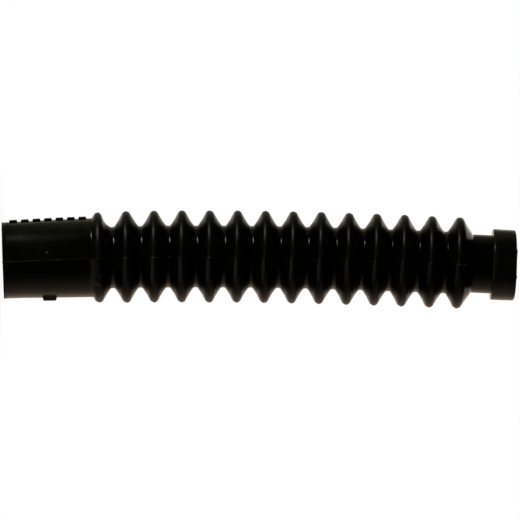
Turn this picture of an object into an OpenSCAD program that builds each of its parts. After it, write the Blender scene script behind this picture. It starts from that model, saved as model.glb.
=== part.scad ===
// Rubber cable boot: one hollow moulding that stands on the mouth of its sleeve.
// Lengths are in millimetres. +Z runs from the sleeve to the collar, with the axis on Z.

/* [Sleeve] */
// Length of the plain sleeve, from its mouth to the foot of the first fold
sleeve_len = 17.7; // [14:0.1:30]
// Outside diameter at the mouth
mouth_d = 15.1; // [14.2:0.1:16.5]
// Outside diameter at the foot of the first fold
root_d = 15.5; // [14.6:0.1:16.5]
// Diameter of the bore that slips over a fitting
sleeve_bore_d = 12.2; // [10:0.1:12.8]
// Radius of the hollow between the sleeve and the first fold
root_r = 0.5; // [0.2:0.1:0.8]

/* [Folds] */
// Number of folds
folds = 14; // [4:1:24]
// Distance from one crest to the next
pitch = 5.5; // [5:0.1:7]
// Outside diameter over the crests
crest_d = 18.2; // [17.6:0.1:21]
// Outside diameter in the valleys
valley_d = 12.2; // [11:0.1:13.6]
// Rounding of the crests
crest_r = 0.85; // [0.5:0.05:1.1]
// Rounding of the valleys
valley_r = 0.75; // [0.5:0.05:1.1]
// Thickness of the folded wall
wall = 1.1; // [0.8:0.05:1.5]
// Rounding inside the crests
inner_crest_r = 0.3; // [0.15:0.05:0.5]

/* [Neck and collar] */
// Outside diameter of the neck, where a band or clip is fastened
neck_d = 11.6; // [10.4:0.1:12.6]
// Length of the neck, from the foot of the last fold to the collar
neck_len = 4.2; // [2.4:0.1:8]
// Radius of the hollow between the last fold and the neck
neck_r = 0.3; // [0.15:0.05:0.6]
// Outside diameter of the collar
collar_d = 14.1; // [13:0.1:17]
// Length of the collar
collar_len = 4.6; // [2:0.1:8]
// Rounding of the collar's edges
collar_edge_r = 0.4; // [0.1:0.05:0.8]
// Diameter of the bore that closes on the cable
end_bore_d = 8; // [5:0.1:9]

/* [Marks on the sleeve] */
// Place of the block along the sleeve, as a share of the sleeve's length
block_at = 0.52; // [0.3:0.01:0.7]
// Length of the block along the sleeve
block_len = 2.6; // [1.5:0.1:5]
// Width of the block across the sleeve
block_w = 5.6; // [2:0.1:7]
// Height of the block above the sleeve
block_rise = 0.5; // [0.2:0.1:1]
// Number of bars in the row on the other side from the block
bar_count = 7; // [3:1:7]
// Length of each bar along the sleeve
bar_len = 1.5; // [0.8:0.1:1.5]
// Width of the bars across the sleeve
bar_w = 2.6; // [1.5:0.1:5]
// Height of the bars above the sleeve
bar_rise = 0.5; // [0.2:0.1:1]
// Plain length that the row leaves at each end of the sleeve
bar_margin = 1.35; // [1:0.05:1.6]

/* [Hidden] */
$fn = 96;

mouth_rad = mouth_d / 2;
root_rad = root_d / 2;
sleeve_bore_rad = sleeve_bore_d / 2;
neck_rad = neck_d / 2;
collar_rad = collar_d / 2;
end_bore_rad = end_bore_d / 2;
half_pitch = pitch / 2;

// An arc runs this far past the straight that it blends into, so the two cross cleanly
lap = 0.004;
// Cuts run this far past the faces they open
over = 1;
// The outlines close on this radius, inside every bore
inside_rad = end_bore_rad / 2;

// Centres of the arcs outside the wall
crest_at = crest_d / 2 - crest_r;
valley_at = valley_d / 2 + valley_r;
outer_slope = flank_slope(crest_at, crest_r, valley_at, valley_r);

// The arcs inside keep the wall's thickness: the ridge shares the valley's centre,
// and the crest touches both flanks one wall in from the outside
ridge_r = valley_r + wall;
inner_crest_at = crest_at - (inner_crest_r + wall - crest_r) / cos(outer_slope);

// Heights: the first crest stands where its flank ends on the sleeve's foot
first_crest_z = sleeve_len + flank_run(crest_at, crest_r, outer_slope, root_rad);
last_crest_z = first_crest_z + (folds - 1) * pitch;
neck_z = last_crest_z + flank_run(crest_at, crest_r, outer_slope, neck_rad);
collar_z = neck_z + neck_len;
top_z = collar_z + collar_len;

collar_round = min(collar_edge_r, (collar_rad - neck_rad) / 2, collar_len / 3);

// The bars and the block start from this radius, inside the sleeve's wall
seat_rad = (sleeve_bore_rad + min(mouth_rad, root_rad)) / 2;
first_bar_z = bar_margin + bar_len / 2;
bar_step = (sleeve_len - 2 * first_bar_z) / (bar_count - 1);
// The block faces +X and the row of bars faces the other way
block_turn = 0;
bars_turn = 180;

// Slope, from the axis, of the straight that crosses between a crest arc and a valley arc
function flank_slope(crest_c, crest_a, valley_c, valley_a) =
    atan2(crest_c - valley_c, half_pitch)
    + asin((crest_a + valley_a) / norm([half_pitch, crest_c - valley_c]));

// Length along the axis from a crest to where its flank comes down to a radius
function flank_run(crest_c, crest_a, slope, radius) =
    crest_a * sin(slope) + (crest_c + crest_a * cos(slope) - radius) / tan(slope);

function crest_z(i) = first_crest_z + i * pitch;

// Point of an arc whose radius leans from the axis' normal by the slope, up (1) or down (-1)
function arc_point(centre_r, centre_z, radius, slope, side) =
    [centre_r + radius * cos(slope), centre_z + side * radius * sin(slope)];

// Radius of the sleeve at a height
function sleeve_rad(z) = mouth_rad + (root_rad - mouth_rad) * z / sleeve_len;

// Section of the folds, from the axis out: straight flanks between crest and valley arcs
module folds_section(crest_c, crest_a, valley_c, valley_a) {
    crest_in = crest_a - lap;
    valley_in = valley_a - lap;
    slope = flank_slope(crest_c, crest_in, valley_c, valley_in);
    run = flank_run(crest_c, crest_in, slope, inside_rad);
    flanks = [
        for (i = [0 : folds - 1])
            each concat(
                [arc_point(crest_c, crest_z(i), crest_in, slope, -1)],
                [arc_point(crest_c, crest_z(i), crest_in, slope, 1)],
                i == folds - 1 ? [] : [
                    arc_point(valley_c, crest_z(i) + half_pitch, -valley_in, slope, 1),
                    arc_point(valley_c, crest_z(i) + half_pitch, -valley_in, slope, -1)
                ]
            )
    ];
    difference() {
        union() {
            polygon(concat(
                [[inside_rad, first_crest_z - run]],
                flanks,
                [[inside_rad, last_crest_z + run]]
            ));
            for (i = [0 : folds - 1])
                translate([crest_c, crest_z(i)])
                    circle(crest_a);
        }
        for (i = [0 : folds - 2])
            translate([valley_c, crest_z(i) + half_pitch])
                circle(valley_a);
    }
}

// Hollow that blends a plain wall, below or above a flank, into that flank.
// side is -1 under the first fold and 1 over the last
module foot_hollow(radius, foot_z, hollow_r, side) {
    turn = tan(outer_slope / 2);
    reach = hollow_r * turn;
    centre_r = radius + hollow_r - lap;
    centre_z = foot_z + side * reach;
    difference() {
        polygon([
            [inside_rad, foot_z],
            [radius, centre_z],
            [centre_r, centre_z],
            [radius + reach * sin(outer_slope), foot_z - side * reach * cos(outer_slope)],
            [inside_rad, foot_z - side * reach]
        ]);
        translate([centre_r, centre_z])
            circle(hollow_r);
    }
}

// Ring cut away to round one edge of the collar: side is 1 at the top edge and -1 at the lower one
module collar_edge_cut(edge_z, side) {
    centre_r = collar_rad - collar_round + lap;
    centre_z = edge_z - side * (collar_round - lap);
    difference() {
        polygon([
            [centre_r, centre_z],
            [collar_rad + over, centre_z],
            [collar_rad + over, edge_z + side * over],
            [centre_r, edge_z + side * over]
        ]);
        translate([centre_r, centre_z])
            circle(collar_round);
    }
}

module collar_section() {
    difference() {
        translate([inside_rad, collar_z])
            square([collar_rad - inside_rad, collar_len]);
        collar_edge_cut(top_z, 1);
        collar_edge_cut(collar_z, -1);
    }
}

// Outside of the boot, filled in to the axis
module outer_section() {
    folds_section(crest_at, crest_r, valley_at, valley_r);
    polygon([
        [inside_rad, 0],
        [mouth_rad, 0],
        [sleeve_rad(first_crest_z), first_crest_z],
        [inside_rad, first_crest_z]
    ]);
    foot_hollow(root_rad, sleeve_len, root_r, -1);
    translate([inside_rad, last_crest_z])
        square([neck_rad - inside_rad, collar_z + collar_len / 2 - last_crest_z]);
    foot_hollow(neck_rad, neck_z, neck_r, 1);
    collar_section();
}

// Hollow of the boot: sleeve bore, folds and end bore
module core_section() {
    folds_section(inner_crest_at, inner_crest_r, valley_at, ridge_r);
    translate([0, -over])
        square([sleeve_bore_rad, first_crest_z + over]);
    translate([0, last_crest_z])
        square([end_bore_rad, top_z - last_crest_z + over]);
    translate([0, first_crest_z])
        square([inside_rad + over, last_crest_z - first_crest_z]);
}

// Raised pad on the sleeve, with its outer face parallel to the sleeve's wall
module raised_pad(mid_z, length, width, rise, turn) {
    low_z = mid_z - length / 2;
    high_z = mid_z + length / 2;
    rotate(turn)
        intersection() {
            rotate_extrude()
                polygon([
                    [seat_rad, low_z],
                    [sleeve_rad(low_z) + rise, low_z],
                    [sleeve_rad(high_z) + rise, high_z],
                    [seat_rad, high_z]
                ]);
            translate([0, -width / 2, low_z - over])
                cube([crest_d, width, length + 2 * over]);
        }
}

module sleeve_marks() {
    raised_pad(block_at * sleeve_len, block_len, block_w, block_rise, block_turn);
    for (i = [0 : bar_count - 1])
        raised_pad(first_bar_z + i * bar_step, bar_len, bar_w, bar_rise, bars_turn);
}

module cable_boot() {
    color([0.03, 0.03, 0.03]) {
        rotate_extrude()
            difference() {
                outer_section();
                core_section();
            }
        sleeve_marks();
    }
}

cable_boot();
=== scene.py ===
import math
import random
import bpy
from mathutils import Matrix, Vector, noise


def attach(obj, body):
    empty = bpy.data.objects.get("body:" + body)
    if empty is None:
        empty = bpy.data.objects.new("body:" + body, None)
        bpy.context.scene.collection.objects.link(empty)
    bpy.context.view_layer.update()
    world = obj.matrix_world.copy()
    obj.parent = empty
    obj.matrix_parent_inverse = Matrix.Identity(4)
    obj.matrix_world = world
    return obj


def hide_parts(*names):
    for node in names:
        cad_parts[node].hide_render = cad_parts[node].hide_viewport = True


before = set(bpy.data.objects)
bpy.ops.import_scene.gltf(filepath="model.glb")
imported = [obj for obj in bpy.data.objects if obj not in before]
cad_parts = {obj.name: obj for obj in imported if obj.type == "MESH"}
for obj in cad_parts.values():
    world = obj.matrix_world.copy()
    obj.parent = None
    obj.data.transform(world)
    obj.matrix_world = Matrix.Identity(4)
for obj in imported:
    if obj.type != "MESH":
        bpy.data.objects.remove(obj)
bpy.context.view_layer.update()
mm = 0.001

# The boot's own sizes in millimetres, as on the solid, but with 0.1 mm of the neck given to the collar
bootShape = {
    "sleeveLen": 17.7,
    "mouthDia": 15.1,
    "rootDia": 15.5,
    "sleeveBore": 12.2,
    "rootHollow": 0.5,
    "folds": 14,
    "pitch": 5.5,
    "crestDia": 18.2,
    "valleyDia": 12.2,
    "crestRound": 0.85,
    "valleyRound": 0.75,
    "wall": 1.1,
    "innerCrestRound": 0.3,
    "neckDia": 11.6,
    "neckLen": 4.1,
    "neckHollow": 0.3,
    "collarDia": 14.1,
    "collarLen": 4.7,
    "collarRound": 0.4,
    "endBore": 8.0,
    "boreEdge": 0.1,            # only here: the bore's wall starts this far under the flash
}


def flankRun(d, crestAt, crestRound, radius):
    # along the axis, from a crest to where its flank comes down to a radius
    reach = crestAt + crestRound * math.cos(d["slope"]) - radius
    return crestRound * math.sin(d["slope"]) + reach / math.tan(d["slope"])


def workOutShape(s):
    # everything that follows from the driving sizes
    d = dict(s)
    d["half"] = s["pitch"] / 2
    d["crestAt"] = s["crestDia"] / 2 - s["crestRound"]
    d["valleyAt"] = s["valleyDia"] / 2 + s["valleyRound"]
    drop = d["crestAt"] - d["valleyAt"]
    cross = (s["crestRound"] + s["valleyRound"]) / math.hypot(d["half"], drop)
    d["slope"] = math.atan2(drop, d["half"]) + math.asin(cross)
    d["slopeDeg"] = math.degrees(d["slope"])
    d["ridgeRound"] = s["valleyRound"] + s["wall"]
    inset = s["innerCrestRound"] + s["wall"] - s["crestRound"]
    d["innerCrestAt"] = d["crestAt"] - inset / math.cos(d["slope"])
    d["firstCrest"] = s["sleeveLen"] + flankRun(d, d["crestAt"], s["crestRound"], s["rootDia"] / 2)
    d["lastCrest"] = d["firstCrest"] + (s["folds"] - 1) * s["pitch"]
    d["neckZ"] = d["lastCrest"] + flankRun(d, d["crestAt"], s["crestRound"], s["neckDia"] / 2)
    d["collarZ"] = d["neckZ"] + s["neckLen"]
    d["top"] = d["collarZ"] + s["collarLen"]
    return d


boot = workOutShape(bootShape)
outsideParts = ("sleeve", "root", "fold", "neck", "collarEdge", "collar")
print("section worked out: flanks at %.1f degrees, top at %.2f mm" % (boot["slopeDeg"], boot["top"]))


def smooth(low, high, value):
    t = min(1.0, max(0.0, (value - low) / (high - low)))
    return t * t * (3 - 2 * t)


def hump(value, middle, spread):
    return math.exp(-((value - middle) / spread) ** 2)


def ragged(mean, swing, place):
    return mean + swing * noise.noise(place)


def turnFrom(angle, at):
    # signed turn in degrees, nearest way round
    return (angle - at + 180) % 360 - 180


def sleeveRadius(z):
    low, high = boot["mouthDia"] / 2, boot["rootDia"] / 2
    return low + (high - low) * z / boot["sleeveLen"]


def crestHeight(fold):
    return boot["firstCrest"] + fold * boot["pitch"]


# Plain raised relief on the sleeve: one block and, on the other side, a row of even bars
relief = {
    "blockAt": 90.0,            # degrees round from the front
    "blockMid": 9.05,
    "blockLen": 2.75,
    "blockWide": 4.3,           # at half its height
    "blockRise": 0.57,
    "blockEdge": 0.14,          # half the run of a side
    "blockSlope": 0.45,         # its front and back sides run out further
    "blockFlat": 0.5,           # no further round than this is its face flat, in radians
    "barsAt": 270.0,
    "barCount": 7,
    "barMargin": 1.35,
    "barShift": 0.35,           # the whole row sits this far in from the mouth
    "barLen": 1.5,
    "barWide": 2.6,
    "barRise": 0.4,
    "barEdge": 0.05,
}


def barMiddles():
    first = relief["barMargin"] + relief["barLen"] / 2
    step = (boot["sleeveLen"] - 2 * first) / (relief["barCount"] - 1)
    return [first + relief["barShift"] + i * step for i in range(relief["barCount"])]


def halfTurn(wide):
    return math.degrees(math.asin(wide / 2 / sleeveRadius(relief["blockMid"])))


def padHeight(along, across, halfLen, halfWide, edge, slope):
    # a raised pad with slightly rounded sides, steep where the run is short
    return smooth(-edge, edge, halfLen - abs(along)) * smooth(-slope, slope, halfWide - abs(across))


def reliefHeight(angle, z):
    radius = sleeveRadius(z)
    across = math.radians(turnFrom(angle, relief["blockAt"])) * radius
    halfWide = math.radians(halfTurn(relief["blockWide"])) * radius
    turn = min(relief["blockFlat"], abs(across / radius))
    flatFace = (radius + relief["blockRise"]) / math.cos(turn) - radius
    along = z - relief["blockMid"]
    edge, slope = relief["blockEdge"], relief["blockSlope"]
    height = flatFace * padHeight(along, across, relief["blockLen"] / 2, halfWide, edge, slope)
    across = math.radians(turnFrom(angle, relief["barsAt"])) * radius
    halfWide = math.radians(halfTurn(relief["barWide"])) * radius
    edge = relief["barEdge"]
    for mid in barMiddles():
        bar = padHeight(z - mid, across, relief["barLen"] / 2, halfWide, edge, edge)
        height = max(height, relief["barRise"] * bar)
    return height


# Two small blemishes: a pale speck stuck on the sleeve, and a scar with a pale streak under the first crest
speck = {"at": -9.5, "z": 8.8, "wide": 0.17, "high": 0.12}
scar = {
    "at": 29.0,
    "z": 19.3,
    "wide": 0.75,
    "long": 0.8,
    "deep": 0.2,
    "reach": 2.5,               # nothing of it shows further off, in its lengths
    "ragged": (0.7, 0.8),
    "grain": (1.4, 1.1),
    "streakAt": 36.5,
    "streakZ": 18.6,
    "streakWide": 0.16,
    "streakHigh": 0.06,
    "streakPale": 0.25,
}


def blemishHeight(angle, r, z, part):
    # how far the surface stands out at a blemish, and how pale it is
    if part == "sleeve":
        across = math.radians(turnFrom(angle, speck["at"])) * r
        near = math.exp(-((across / speck["wide"]) ** 2 + ((z - speck["z"]) / speck["wide"]) ** 2) ** 2)
        return speck["high"] * near, near
    if part in ("root", "fold") and abs(z - scar["z"]) < scar["reach"] * scar["long"]:
        across = math.radians(turnFrom(angle, scar["at"])) * r / scar["wide"]
        along = math.exp(-((z - scar["z"]) / scar["long"]) ** 4)
        grain = scar["grain"]
        torn = ragged(*scar["ragged"], Vector((across * grain[0], z * grain[1], 7.0)))
        nick = along * math.exp(-across ** 4) * torn
        streak = math.radians(turnFrom(angle, scar["streakAt"])) * r / scar["streakWide"]
        pale = math.exp(-streak * streak - ((z - scar["streakZ"]) / scar["long"]) ** 4)
        return scar["streakHigh"] * pale - scar["deep"] * nick, scar["streakPale"] * pale
    return 0.0, 0.0


# What the mould leaves on the rubber, in millimetres and degrees round from the front
mouldMarks = {
    "seamAt": (2.0, 182.0),     # the two halves of the mould meet here
    "seamLean": 1.4,            # how far the line leans along the sleeve
    "seamBack": 0.6,            # the share of it that it wanders back, and where
    "seamBackOver": (20.0, 80.0),
    "seamWidth": 0.1,
    "seamReach": 4,             # nothing of it shows further off, in its widths
    "seamHigh": 0.1,
    "seamRagged": (0.7, 0.9),
    "seamGrain": 0.31,
    "seamOnSleeve": (1.4, 0.7),     # its height at the mouth, and what it loses along the sleeve
    "seamOnFolds": 0.15,        # what is left of it between the ticks
    "halvesOff": 0.05,          # one half sits this far along from the other
    "halvesBlend": 0.2,
    "lipOut": 0.1,              # burr round the mouth
    "lipLen": 0.5,
    "lipMiddle": 0.9,
    "lipRagged": (0.7, 0.6),
    "lipGrain": 0.55,
    "rimUp": 0.38,              # trimmed flash round the end bore
    "rimWall": 0.3,
    "rimRagged": (0.55, 0.9),
    "rimLeast": 0.1,
    "rimGrain": 0.8,
    "ripple": 0.012,
    "rippleGrain": 0.3,
}

# Where the seam's flash is thicker along the folds: the middle of each tick and half its length
seamTicks = ((19.5, 0.5), (21.9, 0.25), (23.9, 0.9), (29.7, 1.2), (33.1, 0.25), (40.9, 0.35), (61.7, 0.7),
             (72.9, 1.1), (78.7, 0.6), (84.2, 0.5), (90.9, 1.6), (96.7, 0.25))


def seamPlace(k, z):
    # the line leans a little along the sleeve and wanders back along the folds
    lean = 0.5 - min(1.0, z / boot["sleeveLen"])
    lean += mouldMarks["seamBack"] * smooth(*mouldMarks["seamBackOver"], z)
    return mouldMarks["seamAt"][k] + mouldMarks["seamLean"] * lean


def seamMark(angle, r, z, part):
    # 1 on the ragged line where the mould's halves meet, 0 away from it
    if part not in outsideParts:
        return 0.0
    total = 0.0
    for k in range(len(mouldMarks["seamAt"])):
        off = math.radians(turnFrom(angle, seamPlace(k, z))) * r / mouldMarks["seamWidth"]
        if abs(off) < mouldMarks["seamReach"]:
            size = ragged(*mouldMarks["seamRagged"], Vector((z * mouldMarks["seamGrain"], 9.0 * k, 2.0)))
            if part == "sleeve":
                full, loss = mouldMarks["seamOnSleeve"]
                size *= full - loss * z / boot["sleeveLen"]
            else:
                ticks = [math.exp(-((z - mid) / half) ** 4) for mid, half in seamTicks]
                size = mouldMarks["seamOnFolds"] * size + max(ticks)
            total += size * math.exp(-off * off)
    return total


def halfSide(below):
    # 1 on the lower half of the mould, -1 on the upper one
    blend = mouldMarks["halvesBlend"]
    return smooth(-blend, blend, below) * smooth(-blend, blend, 180 - below) * 2 - 1


def burrHeight(around, z):
    lip = 1 - abs(2 * z / mouldMarks["lipLen"] - mouldMarks["lipMiddle"])
    size = ragged(*mouldMarks["lipRagged"], around * mouldMarks["lipGrain"])
    return mouldMarks["lipOut"] * max(0.0, lip) * size


def flashHeight(around, r):
    size = ragged(*mouldMarks["rimRagged"], around * mouldMarks["rimGrain"])
    bead = math.sin(math.pi * min(1.0, (r - boot["endBore"] / 2) / mouldMarks["rimWall"]))
    return mouldMarks["rimUp"] * max(mouldMarks["rimLeast"], size) * bead


# Steps along each stretch of the section, and round the boot
meshSteps = {
    "sleeve": 16,
    "hollow": 4,
    "flank": 3,
    "valley": 6,
    "lastFlank": 4,
    "neck": 4,
    "collarFoot": 1,
    "collarEdge": 4,
    "collar": 5,
    "end": 3,
    "bore": 3,
    "innerFlank": 1,
    "innerCrest": 3,
    "ridge": 5,
    "sleeveBore": 6,
    "mouth": 2,
    "leastGap": 0.2,            # millimetres between an even row and a close one
    "round": 120,
    "leastTurn": 0.8,           # degrees between an even column and a close one
    "seamSide": 6,              # columns on each side of a seam, and the turn between them
    "seamTurn": 0.28,
    "scarSide": 7,
    "scarTurn": 1.3,
    "sharpFrom": 40,            # edges that turn further than this are sharp
}

# Rows over a crest as shares of its slope, closer together on the flat
crestTurns = (-1.0, -0.86, -0.7, -0.53, -0.36, -0.17, 0.05, 0.35, 0.68, 1.0)

# Close rows and columns, as shares: over a relief's side, a sloping side, the speck, the burr and the flash
sideShares = (-2.0, -0.8, 0.8, 2.0)
slopeShares = (-1.1, -0.4, 0.4, 1.1)
speckShares = (-1.2, -0.5, 0.5, 1.2)
lipShares = (0.0, 0.2, 0.45, 0.75, 1.0)
rimShares = (1.0, 0.75, 0.5, 0.25, 0.05)


def arc(centreR, centreZ, radius, fromDeg, toDeg, steps):
    points = []
    for i in range(steps + 1):
        a = math.radians(fromDeg + (toDeg - fromDeg) * i / steps)
        points.append((centreR + radius * math.cos(a), centreZ + radius * math.sin(a)))
    return points


def between(start, end, steps):
    # points strictly inside a straight stretch
    points = []
    for i in range(1, steps + 1):
        t = i / (steps + 1)
        points.append((start[0] + (end[0] - start[0]) * t, start[1] + (end[1] - start[1]) * t))
    return points


def onPart(part, points):
    return [(r, z, part) for r, z in points]


def crestPoints(z):
    points = []
    for share in crestTurns:
        a = boot["slope"] * share
        r = boot["crestAt"] + boot["crestRound"] * math.cos(a)
        points.append((r, z + boot["crestRound"] * math.sin(a)))
    return points


def sleeveHeights():
    # rows along the sleeve: even ones, and close ones where a relief's side or the speck stands
    half, edge = relief["blockLen"] / 2, relief["blockEdge"]
    sides = [(relief["blockMid"] - half, edge), (relief["blockMid"] + half, edge)]
    half, edge = relief["barLen"] / 2, relief["barEdge"]
    for mid in barMiddles():
        sides += [(mid - half, edge), (mid + half, edge)]
    rows = [mouldMarks["lipLen"] * k for k in lipShares]
    rows += [at + k * run for at, run in sides for k in sideShares]
    rows += [speck["z"] + k * speck["wide"] for k in speckShares]
    hollowFoot = boot["sleeveLen"] - boot["rootHollow"] * math.tan(boot["slope"] / 2)
    even = [hollowFoot * i / meshSteps["sleeve"] for i in range(1, meshSteps["sleeve"])]
    rows += [z for z in even if min(abs(z - c) for c in rows) > meshSteps["leastGap"]]
    return sorted(rows), hollowFoot


def outsideRows():
    s = boot
    slope = s["slopeDeg"]
    heights, hollowFoot = sleeveHeights()
    rows = [(sleeveRadius(z), z, "sleeve") for z in heights]
    hollowAt = s["rootDia"] / 2 + s["rootHollow"]
    hollow = arc(hollowAt, hollowFoot, s["rootHollow"], 180, 180 - slope, meshSteps["hollow"])
    rows += onPart("root", hollow)
    for i in range(s["folds"]):
        crest = crestPoints(crestHeight(i))
        rows += onPart("fold", between(rows[-1], crest[0], meshSteps["flank"]))
        rows += onPart("fold", crest)
        if i < s["folds"] - 1:
            middle = crestHeight(i) + s["half"]
            steps = meshSteps["valley"]
            valley = arc(s["valleyAt"], middle, s["valleyRound"], 180 + slope, 180 - slope, steps)
            rows += onPart("fold", between(crest[-1], valley[0], meshSteps["flank"]))
            rows += onPart("fold", valley)
    hollowAt = s["neckDia"] / 2 + s["neckHollow"]
    neckFoot = s["neckZ"] + s["neckHollow"] * math.tan(s["slope"] / 2)
    hollow = arc(hollowAt, neckFoot, s["neckHollow"], 180 + slope, 180, meshSteps["hollow"])
    corner = (s["neckDia"] / 2, s["collarZ"])
    rows += onPart("fold", between(rows[-1], hollow[0], meshSteps["lastFlank"]))
    rows += onPart("neck", hollow)
    rows += onPart("neck", between(hollow[-1], corner, meshSteps["neck"]))
    rows += onPart("neck", [corner])
    inset = s["collarDia"] / 2 - s["collarRound"]
    lower = arc(inset, s["collarZ"] + s["collarRound"], s["collarRound"], -90, 0, meshSteps["collarEdge"])
    upper = arc(inset, s["top"] - s["collarRound"], s["collarRound"], 0, 90, meshSteps["collarEdge"])
    rows += onPart("collarEdge", between(corner, lower[0], meshSteps["collarFoot"]))
    rows += onPart("collarEdge", lower)
    rows += onPart("collar", between(lower[-1], upper[0], meshSteps["collar"]))
    rows += onPart("collar", upper)
    return rows


def insideRows():
    s = boot
    slope = s["slopeDeg"]
    bore = s["endBore"] / 2
    rim = mouldMarks["rimWall"]
    edge = (s["collarDia"] / 2 - s["collarRound"], s["top"])
    rows = onPart("end", between(edge, (bore + rim, s["top"]), meshSteps["end"]))
    rows += [(bore + rim * k, s["top"], "rim") for k in rimShares]
    boreTop = (bore, s["top"] - s["boreEdge"])
    boreFoot = (bore, s["lastCrest"] + flankRun(s, s["innerCrestAt"], s["innerCrestRound"], bore))
    rows += onPart("bore", [boreTop] + between(boreTop, boreFoot, meshSteps["bore"]) + [boreFoot])
    for i in reversed(range(s["folds"])):
        z = crestHeight(i)
        crest = arc(s["innerCrestAt"], z, s["innerCrestRound"], slope, -slope, meshSteps["innerCrest"])
        rows += onPart("innerFold", between(rows[-1], crest[0], meshSteps["innerFlank"]))
        rows += onPart("innerFold", crest)
        if i > 0:
            middle = z - s["half"]
            steps = meshSteps["ridge"]
            ridge = arc(s["valleyAt"], middle, s["ridgeRound"], 180 - slope, 180 + slope, steps)
            rows += onPart("innerFold", between(crest[-1], ridge[0], meshSteps["innerFlank"]))
            rows += onPart("innerFold", ridge)
    wide = s["sleeveBore"] / 2
    top = (wide, s["firstCrest"] - flankRun(s, s["innerCrestAt"], s["innerCrestRound"], wide))
    foot = (wide, 0.0)
    rows += onPart("sleeveBore", [top] + between(top, foot, meshSteps["sleeveBore"]))
    rows += onPart("mouth", [foot] + between(foot, (s["mouthDia"] / 2, 0.0), meshSteps["mouth"]))
    return rows


def columnAngles():
    close = []
    for seam in mouldMarks["seamAt"]:
        side = meshSteps["seamSide"]
        close += [seam + meshSteps["seamTurn"] * k for k in range(-side, side + 1)]
    block = (relief["blockAt"], relief["blockWide"], relief["blockSlope"], slopeShares)
    bars = (relief["barsAt"], relief["barWide"], relief["barEdge"], sideShares)
    for at, wide, edge, shares in (block, bars):
        run = math.degrees(edge / sleeveRadius(relief["blockMid"]))
        for side in (-1, 1):
            close += [at + side * halfTurn(wide) + k * run for k in shares]
    speckTurn = math.degrees(speck["wide"] / sleeveRadius(speck["z"]))
    close += [speck["at"] % 360 + k * speckTurn for k in speckShares]
    side = meshSteps["scarSide"]
    close += [scar["at"] + meshSteps["scarTurn"] * k for k in range(-side, side + 1)]
    even = [360.0 * i / meshSteps["round"] for i in range(meshSteps["round"])]
    keep = [a for a in even if min(abs(turnFrom(a, c)) for c in close) > meshSteps["leastTurn"]]
    return sorted(a % 360 for a in close + keep)


# How this one differs from an even boot; places on a fold are shares of its height, from valley to crest
uneven = {
    "seed": 11,
    "crestWave": 0.035,         # slow waves round each fold
    "waves": (1, 2, 3),
    "waveSize": (0.4, 1.0),
    "crestProud": 0.065,
    "endCrestsShort": 0.1,      # crests get lower towards both ends
    "firstCrestShort": 0.1,
    "sleeveSwell": 0.1,         # the sleeve is fuller past its mouth, up to its root
    "swellOver": (1.0, 12.0),
    "swellEnd": 0.3,
    "shoulderOut": 0.07,        # the folds are fuller just under their crests
    "shoulderAt": (0.8, 0.12),
    "shoulderToMouth": 0.7,     # less so on the side of the mouth
    "flankIn": 0.065,           # where they are hollower halfway down
    "flankAt": (0.43, 0.17),
    "footOut": 0.05,            # and fuller at the foot of the other side
    "footAt": (0.06, 0.12),
    "flatAt": -31.0,            # below the seam the crests are flatter towards the mouth
    "flatHalf": 27.0,
    "flatFrom": (0.0, 3.0),     # degrees below the seam
    "flatTo": (80.0, 110.0),
    "firstThin": 0.75,          # hollow over the bars' side of the first fold
    "firstThinPeak": 1.4,
    "firstThinFoot": 0.25,
    "firstThinTo": (2.2, 3.6),  # past the first crest
    "lastFlankOut": 0.21,       # the last flank runs out further along the neck
    "neckFrom": 0.5,
}


def makeWaves():
    # each fold's own small unevenness, as a few slow waves round it
    draw = random.Random(uneven["seed"])
    waves = []
    for i in range(boot["folds"]):
        ownWaves = []
        for n in uneven["waves"]:
            turnA, turnB = draw.uniform(0, 360), draw.uniform(0, 360)
            ownWaves.append((n, turnA, turnB, draw.uniform(*uneven["waveSize"])))
        waves.append(ownWaves)
    return waves


def foldWave(waves, angle):
    out, along = 0.0, 0.0
    for n, turnA, turnB, size in waves:
        out += size * math.sin(math.radians(n * angle + turnA)) / (n + 1)
        along += size * math.sin(math.radians(n * angle + turnB)) / (n + 1)
    return out * uneven["crestWave"], along * uneven["crestWave"]


def crestShort(fold):
    midFold = (boot["folds"] - 1) / 2
    short = uneven["endCrestsShort"] * abs(fold / midFold - 1) ** 3
    if fold == 0:
        short += uneven["firstCrestShort"]
    return short


def flankLift(share, toMouth):
    # how far a flank stands out from a straight one
    lift = uneven["shoulderOut"] * hump(share, *uneven["shoulderAt"])
    if toMouth:
        return uneven["shoulderToMouth"] * lift - uneven["flankIn"] * hump(share, *uneven["flankAt"])
    return lift + uneven["footOut"] * hump(share, *uneven["footAt"])


def crestFlat(r, z, fold, below):
    # how far a crest's rounding stands out over its flat
    fromTop = math.atan2(z - boot["firstCrest"] - fold * boot["pitch"], r - boot["crestAt"])
    off = fromTop - math.radians(uneven["flatAt"])
    stands = boot["crestRound"] * max(0.0, math.cos(off) - math.cos(math.radians(uneven["flatHalf"])))
    return stands * smooth(*uneven["flatFrom"], below) * (1 - smooth(*uneven["flatTo"], below))


def sleeveFuller(z):
    end, fade = boot["sleeveLen"], uneven["swellEnd"]
    return uneven["sleeveSwell"] * smooth(*uneven["swellOver"], z) * (1 - smooth(end - fade, end + fade, z))


def firstFoldHollow(angle, z, share):
    low, high = uneven["firstThinTo"]
    overBars = max(0.0, math.cos(math.radians(angle - relief["barsAt"]))) ** 2
    side = 1 - smooth(boot["firstCrest"] + low, boot["firstCrest"] + high, z)
    hollow = math.sin(math.pi * share ** uneven["firstThinPeak"]) + uneven["firstThinFoot"] * (1 - share)
    return uneven["firstThin"] * overBars * side * hollow


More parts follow.
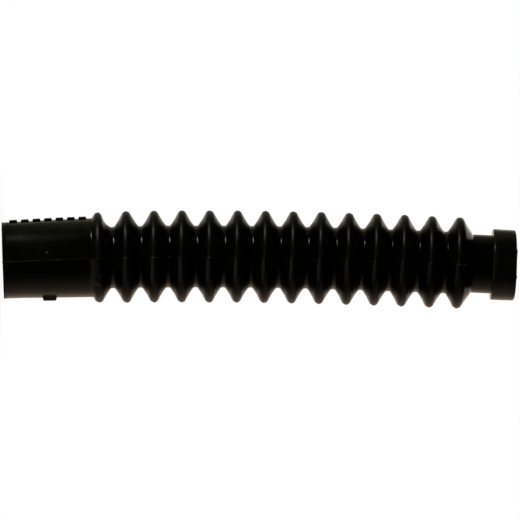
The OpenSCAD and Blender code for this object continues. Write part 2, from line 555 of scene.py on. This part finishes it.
# The slack bow of the soft boot, towards the row of bars; both ends stay on the axis
bow = {
    "sag": 1.22,
    "skew": 0.9,
    "mouthShare": 1.3,          # the mouth leans more than the bow has it
    "squareUpTo": 12.0,
    "easeAt": 88.0,             # and the last folds lean less
    "easeOver": 5.0,
    "ease": 0.22,
    "step": 0.5,
}


def bowShift(z):
    t = min(1.0, max(0.0, z / boot["top"]))
    return bow["sag"] * math.sin(math.pi * t ** bow["skew"])


def bent(x, y, z):
    # sideways shift of the section, and the section squared to the bowed axis
    step = bow["step"]
    slope = (bowShift(z + step) - bowShift(z - step)) / (2 * step)
    slope *= bow["mouthShare"] + (1 - bow["mouthShare"]) * smooth(0.0, bow["squareUpTo"], z)
    slope *= 1 - bow["ease"] * hump(z, bow["easeAt"], bow["easeOver"])
    return Vector((x - bowShift(z), y, z + x * slope)) * mm


# Black moulded rubber
rubberLook = {
    "black": (0.002, 0.002, 0.0018, 1),
    # the film colour is also laid on as painted light on the collar and as painted shade on the sleeve's
    # halves
    "bloomAndPaintedLight": (0.013, 0.0136, 0.008, 1),   # greyish film where it is handled
    "dustAndPaintedLight": (0.35, 0.34, 0.32, 1),
    "bloomScale": 210.0,
    "bloomDetail": 4.0,
    "bloomPatch": (0.3, 0.66),
    "bloomWear": 0.2,           # how far the film dulls it
    "wearMost": 1.2,
    "glossy": 0.13,
    "dull": 0.46,
    "grainScale": 5200.0,
    "grainDetail": 2.0,
    "grainDepth": 0.000012,
    "lumpScale": 620.0,
    "lumpDetail": 3.0,
    "lumpDepth": 0.000015,
    "shine": 0.28,
}

# How dull each stretch is, from the sheltered folds (0) to what gets handled (1)
partDullness = {
    "sleeve": 0.12, "root": 0.06, "fold": 0.0, "neck": 0.06, "collarEdge": 0.2, "collar": 0.06, "end": 0.6,
    "rim": 0.8, "bore": 0.4, "innerFold": 0.3, "sleeveBore": 0.4, "mouth": 0.6,
}

# How much of the greyish film lies on each stretch; on the collar and its edge it is heavier, as painted
# light where the lamps reach them little
partFilmAndPaintedLight = {
    "sleeve": 0.8, "root": 0.4, "fold": 0.05, "neck": 0.15, "collarEdge": 2.2, "collar": 1.7, "end": 0.6,
    "rim": 0.8, "bore": 0.3, "innerFold": 0.3, "sleeveBore": 0.3, "mouth": 0.6,
}

# How much paler a few stretches are painted: painted light on the collar and its edge, where the lamps
# reach them little
partPaintedPale = {"collar": 0.022, "collarEdge": 0.05}

# Where the finish changes, and where light and shade are painted into the colour; places on a fold are
# shares of its height, turns are degrees below the seam
finishAndPaintedLight = {
    "flankFrom": (0.03, 0.13),
    "flankTo": (0.7, 0.92),
    "flankDull": 0.4,
    "flankLoss": 0.75,          # of its shine, where the next fold stands against it
    "crestFrom": (0.8, 0.97),
    "crestDull": 0.8,
    "crestFilm": 0.6,
    "flatDeep": 0.02,
    "flatLoss": 0.4,
    "valleyTo": (0.03, 0.1),    # the valleys above the seam are glossier
    "valleyOver": (0.0, 10.0),
    "valleyGain": 0.35,
    "shadedHalfFilm": 0.15,          # painted shade: the sleeve keeps less film below the seam, but for its block, so its lower half is darker than its upper half
    "blockFrom": 0.3,
    "reliefFrom": 0.1,
    "reliefPale": 0.04,
    "paintedFlankFrom": (0.3, 2.0),   # painted light: the first flank is made paler below the seam, where light from the mouth's side would fall
    "paintedFlankTo": (40.0, 80.0),
    "paintedFlankUpTo": (0.75, 0.95),
    "paintedFlankPale": 0.08,
    "seamPale": 0.018,
    "seamPaleOnSleeve": 0.12,
}


def foldShare(r, part):
    # 0 at the bottom of a fold, 1 at its crest
    if part == "fold":
        low, high = boot["valleyDia"] / 2, boot["crestDia"] / 2
    elif part == "innerFold":
        low = boot["valleyDia"] / 2 - boot["wall"]
        high = boot["innerCrestAt"] + boot["innerCrestRound"]
    else:
        return 0.0
    return min(1.0, max(0.0, (r - low) / (high - low)))


def rowFacing(rows, k):
    # which way a row's surface faces, out from the axis and along it
    before, after = rows[k - 1], rows[(k + 1) % len(rows)]
    tr, tz = after[0] - before[0], after[1] - before[1]
    size = math.hypot(tr, tz)
    return tz / size, -tr / size


def skinLift(spot):
    # how far the surface stands out from the plain section
    part, z = spot["part"], spot["z"]
    lift = spot["stands"] + spot["mark"] * mouldMarks["seamHigh"]
    if part in outsideParts:
        lift += mouldMarks["ripple"] * noise.noise(spot["around"] * mouldMarks["rippleGrain"])
    if part == "fold":
        lift += flankLift(spot["share"], z < crestHeight(spot["fold"]))
    if part == "sleeve":
        lift += reliefHeight(spot["angle"], z)
        lift += burrHeight(spot["around"], z)
    return lift


def skinPoint(spot, facing, waves):
    # where a point of the skin ends up, with all that the mould and slackness did to it
    r, z, part, angle = spot["r"], spot["z"], spot["part"], spot["angle"]
    share, fold = spot["share"], spot["fold"]
    rr, zz = r + spot["lift"] * facing[0], z + spot["lift"] * facing[1]
    if part in ("sleeve", "root", "fold"):
        rr += sleeveFuller(z)
    if part == "rim":
        zz += flashHeight(spot["around"], r)
    if share > 0:
        out, along = foldWave(waves[fold], angle)
        rr += (out - crestShort(fold) + uneven["crestProud"]) * share * share
        zz += along * share
    if part == "fold":
        lean = math.radians(uneven["flatAt"])
        rr -= spot["flat"] * math.cos(lean)
        zz -= spot["flat"] * math.sin(lean)
        inFolds = smooth(boot["sleeveLen"], boot["firstCrest"], z)
        inFolds *= smooth(boot["neckZ"], boot["lastCrest"], z)
        zz -= mouldMarks["halvesOff"] * halfSide(spot["below"]) * inFolds
        if z > boot["firstCrest"]:
            rr -= firstFoldHollow(angle, z, share)
        if z > boot["lastCrest"]:
            zz += uneven["lastFlankOut"] * (1 - share * share)
    if part == "neck":
        zz += uneven["lastFlankOut"] * (1 - smooth(boot["neckZ"] + uneven["neckFrom"], boot["collarZ"], z))
    a = math.radians(angle)
    return bent(rr * math.sin(a), -rr * math.cos(a), zz)


def skinLook(spot):
    # dullness, shine, film and paleness of a point of the skin; the film and paleness carry painted light
    # and shade in places
    z, part, share, below = spot["z"], spot["part"], spot["share"], spot["below"]
    onFlank = smooth(*finishAndPaintedLight["flankFrom"], share) * (1 - smooth(*finishAndPaintedLight["flankTo"], share))
    if z > boot["lastCrest"]:
        onFlank = 0.0           # nothing stands against the last flank
    onCrest = smooth(*finishAndPaintedLight["crestFrom"], share)
    onFlat = smooth(0.0, finishAndPaintedLight["flatDeep"], spot["flat"])
    dull = min(1.0, partDullness[part] + finishAndPaintedLight["flankDull"] * onFlank + finishAndPaintedLight["crestDull"] * onCrest)
    glint = 0.0
    if part == "fold":
        inValley = 1 - smooth(*finishAndPaintedLight["valleyTo"], share)
        glint = finishAndPaintedLight["valleyGain"] * inValley * smooth(*finishAndPaintedLight["valleyOver"], -below)
    shine = rubberLook["shine"] * (1 + glint)
    shine *= (1 - finishAndPaintedLight["flankLoss"] * onFlank) * (1 - finishAndPaintedLight["flatLoss"] * onFlat)
    # the collar's heavier film and its paleness are painted light
    filmAndPaintedLight = partFilmAndPaintedLight[part] + finishAndPaintedLight["crestFilm"] * onCrest
    pale = max(spot["pale"], partPaintedPale.get(part, 0.0))
    # painted shade: below the seam the sleeve keeps less film, so its lower half is darker than its upper
    # half; its raised relief there is paler
    if part == "sleeve" and 0 < below < 180:
        if spot["lift"] < finishAndPaintedLight["blockFrom"]:
            filmAndPaintedLight *= finishAndPaintedLight["shadedHalfFilm"]
        if spot["lift"] > finishAndPaintedLight["reliefFrom"]:
            pale = max(pale, finishAndPaintedLight["reliefPale"])
    # painted light on the first flank's lower half, made paler where light from the mouth's side would fall
    if spot["fold"] == 0 and z < boot["firstCrest"] and part in ("root", "fold"):
        lower = smooth(*finishAndPaintedLight["paintedFlankFrom"], below) * (1 - smooth(*finishAndPaintedLight["paintedFlankTo"], below))
        paintedFlank = finishAndPaintedLight["paintedFlankPale"] * lower * (1 - smooth(*finishAndPaintedLight["paintedFlankUpTo"], share))
        pale = max(pale, paintedFlank)
    seamPale = finishAndPaintedLight["seamPaleOnSleeve"] if part == "sleeve" else finishAndPaintedLight["seamPale"]
    return dull, shine, filmAndPaintedLight, max(pale, spot["mark"] * seamPale)


def makeBootMesh():
    rows = outsideRows() + insideRows()
    angles = columnAngles()
    waves = makeWaves()
    verts, looks = [], []
    for k, (r, z, part) in enumerate(rows):
        facing = rowFacing(rows, k)
        nearest = round((z - boot["firstCrest"]) / boot["pitch"])
        fold = min(boot["folds"] - 1, max(0, nearest))
        for angle in angles:
            a = math.radians(angle)
            below = turnFrom(angle, seamPlace(0, z))
            spot = {"r": r, "z": z, "part": part, "angle": angle, "fold": fold, "below": below, "flat": 0.0}
            spot["share"] = foldShare(r, part)
            spot["around"] = Vector((r * math.sin(a), r * math.cos(a), z))
            spot["stands"], spot["pale"] = blemishHeight(angle, r, z, part)
            spot["mark"] = seamMark(angle, r, z, part)
            spot["lift"] = skinLift(spot)
            if part == "fold" and r > boot["crestAt"]:
                spot["flat"] = crestFlat(r, z, fold, below)
            verts.append(skinPoint(spot, facing, waves))
            looks.append(skinLook(spot))
    faces = []
    count, turn = len(rows), len(angles)
    for k in range(count):
        up = (k + 1) % count
        for j in range(turn):
            side = (j + 1) % turn
            faces.append((k * turn + j, k * turn + side, up * turn + side, up * turn + j))
    mesh = bpy.data.meshes.new("cableBootSkin")
    mesh.from_pydata(verts, [], faces)
    for name, values in zip(("dullness", "shine", "filmAndPaintedLight", "paleness"), zip(*looks)):
        layer = mesh.attributes.new(name, "FLOAT", "POINT")
        layer.data.foreach_set("value", values)
    mesh.update()
    mesh.shade_smooth()
    mesh.set_sharp_from_angle(angle=math.radians(meshSteps["sharpFrom"]))
    print("boot mesh:", count, "rows,", turn, "columns,", len(faces) * 2, "triangles")
    return mesh


def addNode(tree, kind, place, **values):
    node = tree.nodes.new(kind)
    node.location = place
    for name, value in values.items():
        setattr(node, name, value)
    return node


def addNoise(tree, coord, place, scale, detail):
    cloud = addNode(tree, "ShaderNodeTexNoise", place)
    cloud.inputs["Scale"].default_value = scale
    cloud.inputs["Detail"].default_value = detail
    tree.links.new(coord.outputs["Object"], cloud.inputs["Vector"])
    return cloud


def makeRubber():
    mat = bpy.data.materials.new("blackRubber")
    mat.use_nodes = True
    tree = mat.node_tree
    link = tree.links.new
    shader = tree.nodes["Principled BSDF"]
    shader.inputs["Base Color"].default_value = rubberLook["bloomAndPaintedLight"]
    shader.inputs["Specular IOR Level"].default_value = rubberLook["shine"]
    coord = addNode(tree, "ShaderNodeTexCoord", (-1200, 0))
    # black, with the film in patches and pale dust over both; film and paleness also carry painted light
    # and shade
    bloomAndPaintedLight = addNoise(tree, coord, (-1000, 250), rubberLook["bloomScale"], rubberLook["bloomDetail"])
    patches = addNode(tree, "ShaderNodeMapRange", (-800, 300), interpolation_type="SMOOTHSTEP")
    patches.inputs["From Min"].default_value = rubberLook["bloomPatch"][0]
    patches.inputs["From Max"].default_value = rubberLook["bloomPatch"][1]
    link(bloomAndPaintedLight.outputs["Fac"], patches.inputs["Value"])
    hazeAndPaintedLight = addNode(tree, "ShaderNodeAttribute", (-800, 50), attribute_name="filmAndPaintedLight")
    filmAndPaintedLight = addNode(tree, "ShaderNodeMath", (-600, 200), operation="MULTIPLY", use_clamp=True)
    link(patches.outputs["Result"], filmAndPaintedLight.inputs[0])
    link(hazeAndPaintedLight.outputs["Fac"], filmAndPaintedLight.inputs[1])
    colour = addNode(tree, "ShaderNodeMix", (-400, 300), data_type="RGBA")
    colour.inputs["A"].default_value = rubberLook["black"]
    colour.inputs["B"].default_value = rubberLook["bloomAndPaintedLight"]
    link(filmAndPaintedLight.outputs[0], colour.inputs["Factor"])
    dustAndPaintedLight = addNode(tree, "ShaderNodeAttribute", (-400, 550), attribute_name="paleness")
    dustAndPaintedLightMix = addNode(tree, "ShaderNodeMix", (-200, 400), data_type="RGBA")
    dustAndPaintedLightMix.inputs["B"].default_value = rubberLook["dustAndPaintedLight"]
    link(dustAndPaintedLight.outputs["Fac"], dustAndPaintedLightMix.inputs["Factor"])
    link(colour.outputs["Result"], dustAndPaintedLightMix.inputs["A"])
    link(dustAndPaintedLightMix.outputs["Result"], shader.inputs["Base Color"])
    # duller where it is handled and filmed
    wear = addNode(tree, "ShaderNodeAttribute", (-1000, -100), attribute_name="dullness")
    mixWear = addNode(tree, "ShaderNodeMath", (-650, -100), operation="MULTIPLY_ADD")
    mixWear.inputs[1].default_value = rubberLook["bloomWear"]
    link(bloomAndPaintedLight.outputs["Fac"], mixWear.inputs[0])
    link(wear.outputs["Fac"], mixWear.inputs[2])
    rough = addNode(tree, "ShaderNodeMapRange", (-400, -100))
    rough.inputs["From Max"].default_value = rubberLook["wearMost"]
    rough.inputs["To Min"].default_value = rubberLook["glossy"]
    rough.inputs["To Max"].default_value = rubberLook["dull"]
    link(mixWear.outputs[0], rough.inputs["Value"])
    link(rough.outputs["Result"], shader.inputs["Roughness"])
    shine = addNode(tree, "ShaderNodeAttribute", (-200, -250), attribute_name="shine")
    link(shine.outputs["Fac"], shader.inputs["Specular IOR Level"])
    # fine grain on soft lumps
    grain = addNoise(tree, coord, (-900, -400), rubberLook["grainScale"], rubberLook["grainDetail"])
    lumps = addNoise(tree, coord, (-900, -650), rubberLook["lumpScale"], rubberLook["lumpDetail"])
    bumpFine = addNode(tree, "ShaderNodeBump", (-400, -400))
    bumpFine.inputs["Distance"].default_value = rubberLook["grainDepth"]
    link(grain.outputs["Fac"], bumpFine.inputs["Height"])
    bumpWide = addNode(tree, "ShaderNodeBump", (-200, -500))
    bumpWide.inputs["Distance"].default_value = rubberLook["lumpDepth"]
    link(lumps.outputs["Fac"], bumpWide.inputs["Height"])
    link(bumpFine.outputs["Normal"], bumpWide.inputs["Normal"])
    link(bumpWide.outputs["Normal"], shader.inputs["Normal"])
    return mat


skin = bpy.data.objects.new("cable_boot_skin", makeBootMesh())
bpy.context.scene.collection.objects.link(skin)
skin.data.materials.append(makeRubber())
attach(skin, "root")
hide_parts("cable_boot")
print("rubber boot in place")

# A small pale floor under the mouth; the camera sees it as almost white
studioFloor = {
    "radius": 0.026,
    "sides": 96,
    "shadowReach": 0.025,
    "shadowShare": 0.12,
    "colour": (0.86, 0.86, 0.85, 1),
}


def makeFloor():
    sides, radius = studioFloor["sides"], studioFloor["radius"]
    ring = [2 * math.pi * i / sides for i in range(sides)]
    mesh = bpy.data.meshes.new("floor")
    mesh.from_pydata([(radius * math.cos(a), radius * math.sin(a), 0) for a in ring], [], [range(sides)])
    floor = bpy.data.objects.new("floor", mesh)
    floor.location.z = min(v.co.z for v in skin.data.vertices)      # under the lowest edge of the mouth
    bpy.context.scene.collection.objects.link(floor)
    floor.visible_shadow = False    # the lamps stand below it
    mat = bpy.data.materials.new("paleFloor")
    mat.use_nodes = True
    tree = mat.node_tree
    tree.nodes.clear()
    link = tree.links.new
    coord = addNode(tree, "ShaderNodeTexCoord", (-900, 0))
    away = addNode(tree, "ShaderNodeVectorMath", (-700, 0), operation="LENGTH")
    near = addNode(tree, "ShaderNodeMapRange", (-500, 0), interpolation_type="SMOOTHSTEP")
    near.inputs["From Max"].default_value = studioFloor["shadowReach"]
    near.inputs["To Min"].default_value = studioFloor["shadowShare"]
    near.inputs["To Max"].default_value = 0.0
    path = addNode(tree, "ShaderNodeLightPath", (-500, 300))
    white = addNode(tree, "ShaderNodeEmission", (-300, -150))
    paint = addNode(tree, "ShaderNodeBsdfDiffuse", (-300, -300))
    paint.inputs["Color"].default_value = studioFloor["colour"]
    seen = addNode(tree, "ShaderNodeMixShader", (-100, 0))
    out = addNode(tree, "ShaderNodeMixShader", (100, 100))
    end = addNode(tree, "ShaderNodeOutputMaterial", (300, 100))
    link(coord.outputs["Object"], away.inputs[0])
    link(away.outputs["Value"], near.inputs["Value"])
    link(near.outputs["Result"], seen.inputs["Fac"])
    link(white.outputs[0], seen.inputs[1])
    link(paint.outputs[0], seen.inputs[2])
    link(path.outputs["Is Camera Ray"], out.inputs["Fac"])
    link(paint.outputs[0], out.inputs[1])
    link(seen.outputs[0], out.inputs[2])
    link(out.outputs[0], end.inputs["Surface"])
    mesh.materials.append(mat)


# The room, and soft cards far round the boot: where each faces from, how much its place along the boot
# counts, where it starts and is full, how it peaks, its light
dimRoom = {"light": (0.006, 0.006, 0.006), "level": (0.3, 0.8)}   # cards fade out between these steepnesses
cards = {
    "backdrop": {"from": (0, 1, 0), "along": 0.4, "edge": (0.96, 0.99), "peak": 1.0,
                 "light": (1.0, 0.97, 0.87)},
    "upperBack": {"from": (-0.45, 0.893, 0), "along": 0.4, "edge": (0.93, 0.99), "peak": 1.0,
                  "light": (0.17, 0.172, 0.14)},
    "lowerBack": {"from": (0.6, 0.8, 0), "along": 0.4, "edge": (0.93, 0.99), "peak": 1.0,
                  "light": (0.2, 0.155, 0.125)},
    "warmSide": {"from": (0.707, 0.707, 0), "along": 1.0, "edge": (-0.3, 1.0), "peak": 2.0,
                 "light": (0.5, 0.37, 0.275)},
    "coolTop": {"from": (-0.766, 0.643, 0), "along": 1.0, "edge": (0.66, 0.93), "peak": 1.0,
                "light": (0.105, 0.112, 0.068)},
}


def addCard(tree, coord, card, level, row):
    # one soft patch of light in the world, brightest square on to its direction
    link = tree.links.new
    drawn = addNode(tree, "ShaderNodeVectorMath", (-1400, row), operation="MULTIPLY")
    drawn.inputs[1].default_value = (1, 1, card["along"])
    link(coord.outputs["Generated"], drawn.inputs[0])
    toward = addNode(tree, "ShaderNodeVectorMath", (-1200, row), operation="NORMALIZE")
    link(drawn.outputs[0], toward.inputs[0])
    square = addNode(tree, "ShaderNodeVectorMath", (-1000, row), operation="DOT_PRODUCT")
    square.inputs[1].default_value = card["from"]
    link(toward.outputs[0], square.inputs[0])
    fade = addNode(tree, "ShaderNodeMapRange", (-900, row))
    fade.inputs["From Min"].default_value = card["edge"][0]
    fade.inputs["From Max"].default_value = card["edge"][1]
    link(square.outputs["Value"], fade.inputs["Value"])
    peak = addNode(tree, "ShaderNodeMath", (-750, row), operation="POWER")
    peak.inputs[1].default_value = card["peak"]
    link(fade.outputs["Result"], peak.inputs[0])
    share = addNode(tree, "ShaderNodeMath", (-600, row), operation="MULTIPLY")
    link(peak.outputs[0], share.inputs[0])
    link(level.outputs["Result"], share.inputs[1])
    light = addNode(tree, "ShaderNodeBackground", (-400, row))
    light.inputs["Color"].default_value = (*card["light"], 1)
    link(share.outputs[0], light.inputs["Strength"])
    return light


def makeWorld():
    world = bpy.data.worlds.new("studio")
    bpy.context.scene.world = world
    world.use_nodes = True
    tree = world.node_tree
    tree.nodes.clear()
    link = tree.links.new
    coord = addNode(tree, "ShaderNodeTexCoord", (-1600, 0))
    apart = addNode(tree, "ShaderNodeSeparateXYZ", (-1400, -300))
    steep = addNode(tree, "ShaderNodeMath", (-1300, -300), operation="ABSOLUTE")
    level = addNode(tree, "ShaderNodeMapRange", (-1200, -300), interpolation_type="SMOOTHSTEP")
    level.inputs["From Min"].default_value = dimRoom["level"][0]
    level.inputs["From Max"].default_value = dimRoom["level"][1]
    level.inputs["To Min"].default_value = 1.0
    level.inputs["To Max"].default_value = 0.0
    link(coord.outputs["Generated"], apart.inputs[0])
    link(apart.outputs["Z"], steep.inputs[0])
    link(steep.outputs[0], level.inputs["Value"])
    room = addNode(tree, "ShaderNodeBackground", (-400, 200))
    room.inputs["Color"].default_value = (*dimRoom["light"], 1)
    total = room
    for i, card in enumerate(cards.values()):
        light = addCard(tree, coord, card, level, -200 * i)
        both = addNode(tree, "ShaderNodeAddShader", (-200 + 150 * i, 100 - 150 * i))
        link(total.outputs[0], both.inputs[0])
        link(light.outputs[0], both.inputs[1])
        total = both
    path = addNode(tree, "ShaderNodeLightPath", (200, 350))
    white = addNode(tree, "ShaderNodeBackground", (200, -300))
    white.inputs["Color"].default_value = (1, 1, 1, 1)
    mix = addNode(tree, "ShaderNodeMixShader", (450, 50))
    end = addNode(tree, "ShaderNodeOutputWorld", (650, 50))
    link(path.outputs["Is Camera Ray"], mix.inputs["Fac"])
    link(total.outputs[0], mix.inputs[1])
    link(white.outputs[0], mix.inputs[2])
    link(mix.outputs[0], end.inputs["Surface"])


# Two small soft boxes close by, beyond the mouth, and two pale cards behind the collar;
# each aims at a share of the boot's height
lamps = {
    "key": {"place": (-0.196, -0.0714, -0.066), "size": (0.055, 0.055), "power": 0.122,
            "colour": (1.0, 1.0, 0.98), "aim": 0.5},
    "fill": {"place": (0.06, -0.06, -0.095), "size": (0.16, 0.06), "power": 0.027,
             "colour": (1.0, 0.98, 0.95), "aim": 0.5},
    "collarUpper": {"place": (-0.021, 0.052, 0.123), "size": (0.022, 0.044), "power": 0.002,
                    "colour": (1.0, 0.98, 0.9), "aim": 0.91},
    "collarLower": {"place": (0.021, 0.052, 0.123), "size": (0.022, 0.044), "power": 0.0011,
                    "colour": (1.0, 0.87, 0.76), "aim": 0.91},
}


def makeLamps():
    for name, lamp in lamps.items():
        light = bpy.data.lights.new(name, "AREA")
        light.shape = "RECTANGLE"
        light.size, light.size_y = lamp["size"]
        light.energy = lamp["power"]
        light.color = lamp["colour"]
        holder = bpy.data.objects.new(name, light)
        holder.location = lamp["place"]
        aim = Vector((0, 0, boot["top"] * mm * lamp["aim"]))
        holder.rotation_euler = (aim - holder.location).to_track_quat("-Z", "Y").to_euler()
        holder.visible_camera = False
        bpy.context.scene.collection.objects.link(holder)


# How the boot lies in the photograph: in its pixels, and in degrees
photo = {
    "frame": 520.0,
    "middleAt": (259.1, 263.0),     # the middle of the axis
    "axisLength": 511.85,
    "lean": 0.54,                   # down towards the collar
    "turn": 1.7,                    # the mouth's end comes nearer
    "lens": 430.0,
    "sensor": 36.0,
    "clip": (0.05, 20.0),
}


def makeCamera():
    lean, turn = math.radians(photo["lean"]), math.radians(photo["turn"])
    perPixel = boot["top"] * mm * math.cos(turn) / photo["axisLength"]
    axisUp, sideUp = Vector((0, 0, 1)), Vector((-1, 0, 0))
    flat = axisUp * math.cos(lean) + sideUp * math.sin(lean)
    up = sideUp * math.cos(lean) - axisUp * math.sin(lean)
    square = flat.cross(up)
    right = flat * math.cos(turn) + square * math.sin(turn)
    back = square * math.cos(turn) - flat * math.sin(turn)
    half = photo["frame"] / 2
    offRight = (half - photo["middleAt"][0]) * perPixel
    offUp = (photo["middleAt"][1] - half) * perPixel
    away = photo["frame"] * perPixel * photo["lens"] / photo["sensor"]
    place = axisUp * boot["top"] * mm / 2 + right * offRight + up * offUp + back * away
    data = bpy.data.cameras.new("camera")
    data.lens = photo["lens"]
    data.sensor_width = photo["sensor"]
    data.clip_start, data.clip_end = photo["clip"]
    camera = bpy.data.objects.new("camera", data)
    basis = Matrix((right, up, back)).transposed().to_4x4()
    camera.matrix_world = Matrix.Translation(place) @ basis
    bpy.context.scene.collection.objects.link(camera)
    bpy.context.scene.camera = camera


makeFloor()
makeWorld()
makeLamps()
makeCamera()
bpy.context.scene.view_settings.view_transform = "Standard"
print("studio and camera set")
